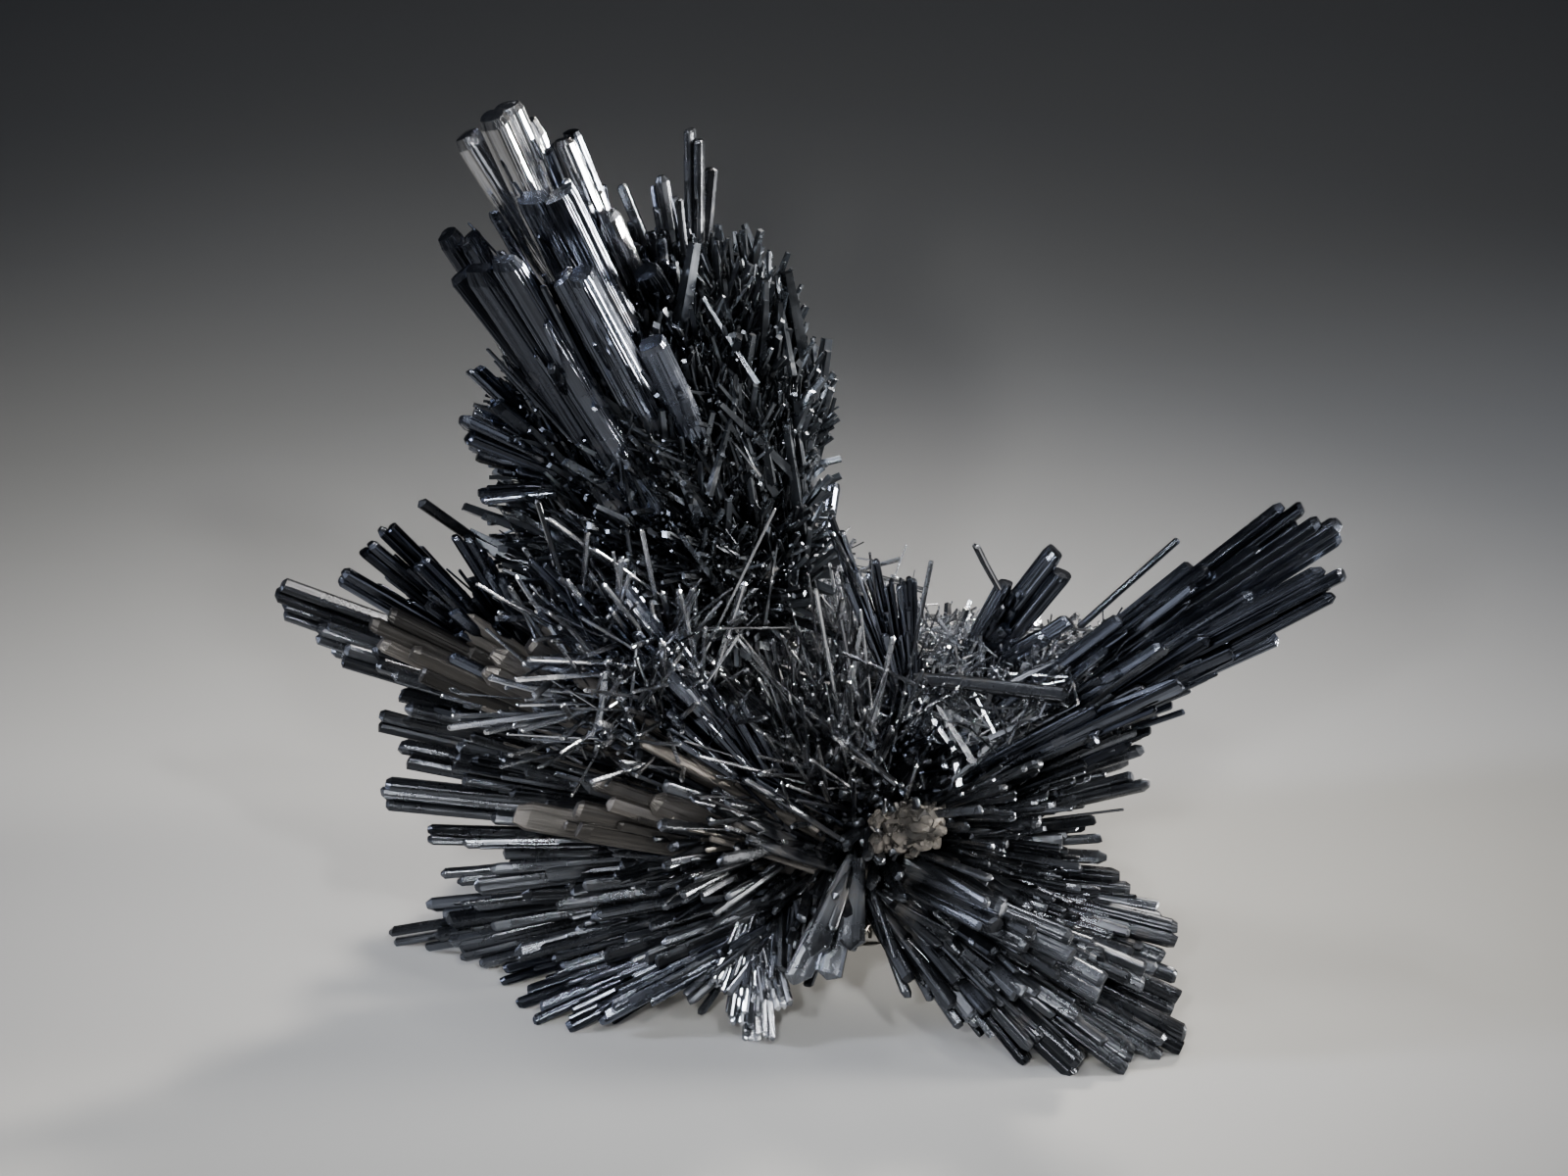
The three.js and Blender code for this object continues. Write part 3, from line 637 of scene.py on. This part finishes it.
# short crystals round the root and long needles through the bowl: origin in mm, the way they point, how far
# they stray from it in degrees, their lengths in mm and their half widths in mm
clusters = dict(
    root_cluster_front=dict(origin=(5, -3, 14), way=(0.05, -0.8, 0.5), stray=48, lengths=(4, 9), count=150,
                            widths=(0.18, 0.6)),
    root_cluster_left=dict(origin=(1, -4, 13), way=(-0.85, -0.45, 0.25), stray=30, lengths=(7, 17), count=170,
                           widths=(0.16, 0.55)),
    root_cluster_low=dict(origin=(3, -4, 11), way=(-0.5, -0.65, -0.3), stray=36, lengths=(5, 11), count=110,
                          widths=(0.15, 0.5)),
    root_cluster_right=dict(origin=(7, -4, 13), way=(0.85, -0.4, 0.2), stray=32, lengths=(6, 15), count=150,
                            widths=(0.16, 0.55)),
    root_cluster_up=dict(origin=(5, 0, 14), way=(0.1, -0.4, 0.9), stray=45, lengths=(6, 12), count=130,
                         widths=(0.12, 0.4), finish="stibnitePrism"),
    bowl_long_needles=dict(origin=(2, -1, 15), way=(-0.3, -0.25, 0.9), stray=42, lengths=(8, 20), count=420,
                           widths=(0.09, 0.24), finish="stibniteNeedle", jitter=5.0),
    bowl_left_needles=dict(origin=(-13, -4, 27), way=(-0.3, -0.45, 0.85), stray=52, lengths=(7, 15),
                           count=420, widths=(0.1, 0.3), finish="stibniteNeedle", jitter=5.0),
)


def addCluster(shape, look, dice):
    way = Vector(look["way"]).normalized()
    side = way.orthogonal().normalized()
    other = way.cross(side)
    for _ in range(look["count"]):
        lean = math.radians(look["stray"]) * math.sqrt(dice.random())
        turn = dice.uniform(0, 2 * math.pi)
        heading = way * math.cos(lean) + (side * math.cos(turn) + other * math.sin(turn)) * math.sin(lean)
        jitter = Vector([dice.uniform(-1, 1) * look["jitter"] for _ in range(3)])
        start = (Vector(look["origin"]) + jitter) * mm
        end = start + heading * dice.uniform(*look["lengths"]) * mm
        if not fits(end) or not fits(start):
            continue
        halfWidth = dice.uniform(*look["widths"]) * mm
        addCrystal(shape, start, end, Vector([dice.uniform(-1, 1) for _ in range(3)]), halfWidth,
                   halfWidth * dice.uniform(0.45, 0.9), dice.uniform(0.6, 0.95), dice.uniform(0.3, 0.8),
                   0.35, dice)


for number, (name, cluster) in enumerate(clusters.items()):
    look = {"finish": "stibniteBlade", "jitter": 1.8, **cluster}
    shape = newShape()
    addCluster(shape, look, random.Random(habit["seed"] + 200 + number))
    triangles += placePiece(name, shape, look["finish"])

# long bright needles that lie across the bowl: foot, tip and half width in mm
crossed = [
    ((-13.4, -6.2, 38.0), (-19.5, -10.2, 46.0), 0.34),
    ((-2.4, -5.2, 27.6), (7.3, -10.2, 21.5), 0.42),
    ((3.0, -5.2, 30.6), (9.3, -8.2, 29.3), 0.26),
    ((-9.8, -7.2, 36.0), (-16.2, -11.2, 44.0), 0.3),
    ((15.1, -4.2, 36.0), (13.1, -6.2, 41.2), 0.36),
    ((-13.7, -9.2, 28.4), (-14.9, -11.7, 33.0), 0.34),
    ((-12.8, -9.2, 24.8), (-14.3, -11.7, 30.8), 0.4),
    ((-4.7, -7.2, 22.6), (-3.9, -9.2, 27.4), 0.34),
    ((4.4, -4.2, 35.4), (2.1, -7.2, 42.9), 0.26),
    ((-17.4, -6.2, 34.2), (-16.5, -9.2, 44.2), 0.26),
    ((-8.5, -5.2, 31.0), (-4.5, -9.2, 36.5), 0.22),
    ((-1.0, -5.2, 33.0), (-7.5, -9.2, 35.5), 0.2),
]
dice = random.Random(habit["seed"] + 300)
shape = newShape()
for foot, tip, halfWidth in crossed:
    addCrystal(shape, Vector(foot) * mm, Vector(tip) * mm, Vector((0.75, -0.6, 0.3)), halfWidth * mm,
               0.55 * halfWidth * mm, 0.9, 0.6, 0.35, dice)
triangles += placePiece("bowl_crossed_needles", shape, "stibniteCleavage")
print("crystals: ", len(crystals), "sprays,", triangles, "triangles")

# beds of needles

# Every bed is coated in layers: (needles per mm2, shortest, longest and width in mm, spread, pull, rise),
# where spread scatters their directions, pull turns them from square-on to pointing away from the bed's
# origin, and rise is how far in mm the boldest stand out
bedShape = dict(cell=0.7 * mm, smooth=6, core=2.6 * mm, sink=0.9, sway=1.2, swayScale=1 / (5 * mm))
beds = dict(
    tower_needles=dict(seed=31, origin=(-5, 0, 32), finish="stibniteBristle", layers=[
        (3.2, 2.5, 5.0, 0.26, 0.45, 0.7, 0.8), (1.6, 4.0, 8.0, 0.5, 0.4, 0.8, 1.8),
        (0.7, 5.0, 10.0, 0.85, 0.35, 0.85, 2.8), (0.15, 7.0, 13.0, 1.4, 0.3, 0.9, 3.6)]),
    bowl_needles=dict(seed=32, origin=(5, -3, 10), layers=[
        (3.6, 2.5, 6.0, 0.2, 0.9, 0.4, 0.8), (1.6, 4.0, 9.0, 0.3, 0.7, 0.6, 2.0),
        (0.4, 6.0, 11.0, 0.5, 0.6, 0.7, 2.8)]),
    ridge_needles=dict(seed=33, origin=(6, -4, 10), layers=[
        (3.2, 2.0, 4.5, 0.24, 0.9, 0.4, 0.8), (1.6, 3.0, 6.5, 0.42, 0.6, 0.6, 1.6),
        (0.5, 4.0, 7.0, 0.8, 0.5, 0.75, 2.2)]),
    root_mass=dict(seed=34, origin=(5, 1, 9), finish="clayCoatedBlade", layers=[
        (2.4, 1.5, 3.5, 0.4, 0.7, 0.3, 0.4), (0.8, 2.0, 5.0, 0.9, 0.6, 0.4, 1.0)]),
    matrix_grains=dict(seed=35, origin=(8, -6, 12), finish="clayCoatedBlade", layers=[
        (5.0, 0.8, 2.2, 0.5, 0.9, 0.3, 0.7), (2.4, 1.2, 3.0, 0.8, 0.8, 0.4, 1.2)]),
)


def needleTree():
    tree = bpy.data.node_groups.new("needleCoat", "GeometryNodeTree")
    face = tree.interface
    face.new_socket("Geometry", in_out="OUTPUT", socket_type="NodeSocketGeometry")
    face.new_socket("Geometry", in_out="INPUT", socket_type="NodeSocketGeometry")
    for kind, names in (
            ("Float", ("Per Area", "Shortest", "Longest", "Width", "Spread", "Pull")),
            ("Vector", ("Origin",)),
            ("Float", ("Sink", "Rise", "Sway", "Sway Scale", "Core Depth")), ("Bool", ("With Core",)),
            ("Int", ("Seed",)), ("Material", ("Material",))):
        for name in names:
            face.new_socket(name, in_out="INPUT", socket_type="NodeSocket" + kind)
    given = addNode(tree, "NodeGroupInput").outputs
    surface = given["Geometry"]

    scattered = addNode(tree, "GeometryNodeDistributePointsOnFaces", {
        "Mesh": surface, "Density": given["Per Area"], "Seed": given["Seed"]})
    place = addNode(tree, "GeometryNodeInputPosition")
    ray = addNode(tree, "ShaderNodeVectorMath", {
        0: place.outputs[0], 1: given["Origin"]}, operation="SUBTRACT")
    outward = addNode(tree, "ShaderNodeVectorMath", {0: ray.outputs["Vector"]}, operation="NORMALIZE")
    aimed = addNode(tree, "ShaderNodeMix", {
        "Factor": given["Pull"], 4: scattered.outputs["Normal"], 5: outward.outputs["Vector"]},
        data_type="VECTOR")
    drift = addNode(tree, "ShaderNodeTexNoise", {"Vector": place.outputs[0], "Scale": given["Sway Scale"]})
    swing = addNode(tree, "ShaderNodeVectorMath", {
        0: drift.outputs["Color"], 1: (0.5, 0.5, 0.5)}, operation="SUBTRACT")
    swung = addNode(tree, "ShaderNodeVectorMath", {
        0: swing.outputs["Vector"], "Scale": given["Sway"]}, operation="SCALE")
    stray = addNode(tree, "FunctionNodeRandomValue", {
        0: (-1.0, -1.0, -1.0), 1: (1.0, 1.0, 1.0), "Seed": given["Seed"]}, data_type="FLOAT_VECTOR")
    strayed = addNode(tree, "ShaderNodeVectorMath", {
        0: stray.outputs[0], "Scale": given["Spread"]}, operation="SCALE")
    summed = addNode(tree, "ShaderNodeVectorMath", {
        0: aimed.outputs[1], 1: swung.outputs["Vector"]}, operation="ADD")
    whole = addNode(tree, "ShaderNodeVectorMath", {0: summed.outputs["Vector"], 1: strayed.outputs["Vector"]},
                    operation="ADD")
    direction = addNode(tree, "ShaderNodeVectorMath", {0: whole.outputs["Vector"]}, operation="NORMALIZE")

    # most stop short of the surface and a few stand out of it
    below = addNode(tree, "ShaderNodeMath", {0: given["Sink"], 1: -1.0}, operation="MULTIPLY")
    stand = addNode(tree, "FunctionNodeRandomValue", {
        2: below.outputs[0], 3: given["Rise"], "Seed": given["Seed"]}, data_type="FLOAT")
    moved = addNode(tree, "ShaderNodeVectorMath", {0: direction.outputs["Vector"], "Scale": stand.outputs[1]},
                    operation="SCALE")
    tips = addNode(tree, "GeometryNodeSetPosition", {
        "Geometry": scattered.outputs["Points"], "Offset": moved.outputs["Vector"]})

    # one needle: four faces, its end at the origin and its foot below; the unit needle keeps its own "local"
    cone = addNode(tree, "GeometryNodeMeshCone", {
        "Vertices": 4, "Side Segments": 1, "Fill Segments": 1, "Radius Top": 0.5, "Radius Bottom": 1.0,
        "Depth": 1.0})
    hung = addNode(tree, "GeometryNodeTransform", {
        "Geometry": cone.outputs["Mesh"], "Translation": (0.0, 0.0, -1.0)})
    sized = addNode(tree, "ShaderNodeVectorMath", {
        0: place.outputs[0], 1: (0.3, 0.3, 4.0)}, operation="MULTIPLY")
    marked = addNode(tree, "GeometryNodeStoreNamedAttribute", {
        "Geometry": hung.outputs[0], "Name": "local", "Value": sized.outputs["Vector"]},
        data_type="FLOAT_VECTOR", domain="POINT")
    height = addNode(tree, "ShaderNodeSeparateXYZ", {0: place.outputs[0]})
    risen = addNode(tree, "ShaderNodeMath", {0: height.outputs["Z"], 1: 1.0}, operation="ADD")
    needle = addNode(tree, "GeometryNodeStoreNamedAttribute", {
        "Geometry": marked.outputs[0], "Name": "reach", "Value": risen.outputs[0]}, data_type="FLOAT",
        domain="POINT")

    spin = addNode(tree, "FunctionNodeRandomValue", {
        2: 0.0, 3: 6.28, "Seed": given["Seed"]}, data_type="FLOAT")
    turned = addNode(tree, "ShaderNodeCombineXYZ", {"Z": spin.outputs[1]})
    upright = addNode(tree, "FunctionNodeAlignRotationToVector", {
        "Vector": direction.outputs["Vector"]}, axis="Z")
    rolled = addNode(tree, "FunctionNodeRotateRotation", {
        "Rotation": upright.outputs[0], "Rotate By": turned.outputs[0]}, rotation_space="LOCAL")
    lengths = addNode(tree, "FunctionNodeRandomValue", {
        2: given["Shortest"], 3: given["Longest"], "Seed": given["Seed"]}, data_type="FLOAT")
    slim = addNode(tree, "FunctionNodeRandomValue", {
        2: 0.3, 3: 0.7, "Seed": given["Seed"]}, data_type="FLOAT")
    girth = addNode(tree, "ShaderNodeMath", {0: slim.outputs[1], 1: given["Width"]}, operation="MULTIPLY")
    flat = addNode(tree, "ShaderNodeMath", {0: girth.outputs[0], 1: 0.7}, operation="MULTIPLY")
    size = addNode(tree, "ShaderNodeCombineXYZ", {
        "X": girth.outputs[0], "Y": flat.outputs[0], "Z": lengths.outputs[1]})
    grown = addNode(tree, "GeometryNodeInstanceOnPoints", {
        "Points": tips.outputs[0], "Instance": needle.outputs[0], "Rotation": rolled.outputs[0],
        "Scale": size.outputs[0]})
    shade = addNode(tree, "FunctionNodeRandomValue", {
        2: 0.0, 3: 1.0, "Seed": given["Seed"]}, data_type="FLOAT")
    tinted = addNode(tree, "GeometryNodeStoreNamedAttribute", {
        "Geometry": grown.outputs[0], "Name": "tint", "Value": shade.outputs[1]}, data_type="FLOAT",
        domain="INSTANCE")

    # the dark body under the needles
    normal = addNode(tree, "GeometryNodeInputNormal")
    deep = addNode(tree, "ShaderNodeMath", {0: given["Core Depth"], 1: -1.0}, operation="MULTIPLY")
    inward = addNode(tree, "ShaderNodeVectorMath", {
        0: normal.outputs[0], "Scale": deep.outputs[0]}, operation="SCALE")
    core = addNode(tree, "GeometryNodeSetPosition", {"Geometry": surface, "Offset": inward.outputs["Vector"]})
    kept = addNode(tree, "GeometryNodeSwitch", {"Switch": given["With Core"], "True": core.outputs[0]},
                   input_type="GEOMETRY")
    both = addNode(tree, "GeometryNodeJoinGeometry")
    tree.links.new(tinted.outputs[0], both.inputs[0])
    tree.links.new(kept.outputs[0], both.inputs[0])
    real = addNode(tree, "GeometryNodeRealizeInstances", {"Geometry": both.outputs[0]})
    dressed = addNode(tree, "GeometryNodeSetMaterial", {
        "Geometry": real.outputs[0], "Material": given["Material"]})
    addNode(tree, "NodeGroupOutput", {"Geometry": dressed.outputs[0]})
    return tree


def evaluated(thing):
    bpy.context.view_layer.update()
    graph = bpy.context.evaluated_depsgraph_get()
    return bpy.data.meshes.new_from_object(thing.evaluated_get(graph), preserve_all_data_layers=True,
                                           depsgraph=graph)


def envelopeOf(nodeName):
    # the frame's lump with its corners rounded off, as an object of its own
    shape = bmesh.new()
    shape.from_mesh(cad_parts[nodeName].data)
    bmesh.ops.remove_doubles(shape, verts=shape.verts, dist=reading["weld"])
    mesh = bpy.data.meshes.new(nodeName + "_envelope")
    shape.to_mesh(mesh)
    shape.free()
    holder = bpy.data.objects.new(nodeName + "_envelope", mesh)
    bpy.context.scene.collection.objects.link(holder)
    remesh = holder.modifiers.new("remesh", "REMESH")
    remesh.mode = "VOXEL"
    remesh.voxel_size = bedShape["cell"]
    smooth = holder.modifiers.new("smooth", "SMOOTH")
    smooth.iterations = bedShape["smooth"]
    rounded = evaluated(holder)
    holder.modifiers.clear()
    holder.data = rounded
    return holder


def shapeOf(mesh):
    # a mesh as the same lists that the crystals are built in
    count = len(mesh.vertices)
    shape = newShape()
    place = np.empty(count * 3, np.float32)
    mesh.vertices.foreach_get("co", place)
    place = place.reshape(-1, 3)
    place[:, 2] = np.maximum(place[:, 2], 0)
    shape["points"] = place.tolist()
    shape["faces"] = [tuple(face.vertices) for face in mesh.polygons]
    for key, field, width in (("local", "vector", 3), ("tint", "value", 1), ("reach", "value", 1)):
        values = np.zeros(count * width, np.float32)
        if key in mesh.attributes:
            mesh.attributes[key].data.foreach_get(field, values)
        shape[key] = values.reshape(-1, 3).tolist() if width == 3 else values.tolist()
    return shape


def joined(shapes):
    whole = newShape()
    for shape in shapes:
        start = len(whole["points"])
        whole["faces"].extend(tuple(start + i for i in face) for face in shape["faces"])
        for key in ("points", "local", "tint", "reach"):
            whole[key].extend(shape[key])
    return whole


def coat(holder, tree, bed, layer, number, finish):
    perArea, shortest, longest, width, spread, pull, rise = layer
    values = {
        "Per Area": perArea / (mm * mm), "Shortest": shortest * mm, "Longest": longest * mm,
        "Width": width * mm, "Spread": spread, "Pull": pull, "Origin": [c * mm for c in bed["origin"]],
        "Sink": bedShape["sink"] * shortest * mm, "Rise": rise * mm, "Sway": bedShape["sway"],
        "Sway Scale": bedShape["swayScale"], "Core Depth": bedShape["core"], "With Core": number == 0,
        "Seed": bed["seed"] + 10 * number, "Material": materials[finish]}
    modifier = holder.modifiers.new("coat", "NODES")
    modifier.node_group = tree
    for socket in tree.interface.items_tree:
        if socket.in_out == "INPUT" and socket.name in values:
            modifier[socket.identifier] = values[socket.name]
    grown = evaluated(holder)
    holder.modifiers.remove(modifier)
    return shapeOf(grown)


tree = needleTree()
for name, bed in beds.items():
    finish = bed.get("finish", "stibniteNeedle")
    holder = envelopeOf(name)
    coats = [coat(holder, tree, bed, layer, number, finish) for number, layer in enumerate(bed["layers"])]
    bpy.data.objects.remove(holder)
    shape = joined(coats)
    replaced = () if finish == "clayCoatedBlade" else (name,)
    count = placePiece(name + "_coat", shape, finish, *replaced)
    print("  ", name, count, "triangles")

# grit at the root

grit = dict(
    seed=5,
    count=60,
    sizes=(0.35 * mm, 0.85 * mm),     # radii of the grains
    squash=(0.6, 1.2),                # each grain's three radii, as a share of its size
    margin=0.4 * mm,                  # how far their centres keep inside the lump's box
    coarse=(1.7, 0.22),               # bumps on a grain: how many to its radius, and how high for its size
    fine=(5, 0.1),
    core=0.4,                         # half size of the root's body, as a share of its box
)


def addGrit(shape, centre, radii, detail, dice):
    ball = bmesh.new()
    bmesh.ops.create_icosphere(ball, subdivisions=detail, radius=1)
    shift = Vector([dice.uniform(0, 50) for _ in range(3)])
    start = len(shape["points"])
    for v in ball.verts:
        bumps = [high * noise.noise(v.co * often + shift) for often, high in (grit["coarse"], grit["fine"])]
        swell = 1 + sum(bumps)
        point = [centre[k] + radii[k] * v.co[k] * swell for k in range(3)]
        shape["points"].append((point[0], point[1], max(point[2], 0.0)))
        shape["local"].append([c / mm for c in point])
    shape["faces"].extend(tuple(start + v.index for v in face.verts) for face in ball.faces)
    shape["tint"].extend([dice.random()] * len(ball.verts))
    shape["reach"].extend([0.0] * len(ball.verts))
    ball.free()


dice = random.Random(grit["seed"])
low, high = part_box("matrix_grains")
shape = newShape()
for _ in range(grit["count"]):
    centre = [dice.uniform(low[k] + grit["margin"], high[k] - grit["margin"]) for k in range(3)]
    size = dice.uniform(*grit["sizes"])
    addGrit(shape, centre, [size * dice.uniform(*grit["squash"]) for _ in range(3)], 2, dice)
placePiece("matrix_grains_grit", shape, "limoniteGrit", "matrix_grains")

low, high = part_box("root_mass")
shape = newShape()
middle = [(low[k] + high[k]) / 2 for k in range(3)]
addGrit(shape, middle, [(high[k] - low[k]) * grit["core"] for k in range(3)], 4, dice)
placePiece("root_mass_body", shape, "limoniteGrit", "root_mass")
print("grit: done")
